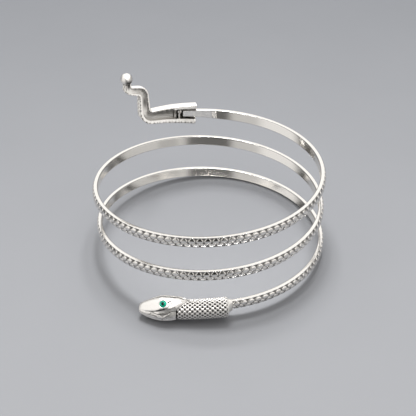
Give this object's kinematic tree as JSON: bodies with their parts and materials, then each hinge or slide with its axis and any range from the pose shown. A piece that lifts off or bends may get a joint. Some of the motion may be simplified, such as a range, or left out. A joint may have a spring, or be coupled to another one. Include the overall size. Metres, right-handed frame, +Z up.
{
  "type": "spiral snake arm cuff",
  "caption": "Spiral upper arm cuff: a scaled silver band in open turns, with a cast snake head with green stone eyes, and a cast tail.",
  "frame": {"origin": "on the floor, under the middle of the cuff's box, as it rests by itself", "axes": "+Z up from the floor, nearly along the coil's axis; the snake head lies at the front, -Y, and points to -X; the tail is at the back, +Y"},
  "size_m": [0.0872, 0.0952, 0.0535],
  "materials": {
    "band_silver": "polished silver, with dark notches between the scales",
    "head_silver": "cast silver, polished on the crests and darker in the pits",
    "tail_silver": "cast silver, rough inside the trough",
    "pin_silver": "polished silver",
    "eye_green": "round cut green glass stone with a dark middle"
  },
  "bodies": {
    "root": {"coil_band": "band_silver", "snake_head": "head_silver", "tail": "tail_silver", "eye_left": "eye_green", "eye_right": "eye_green", "tail_pin": "pin_silver"}
  },
  "joints": []
}
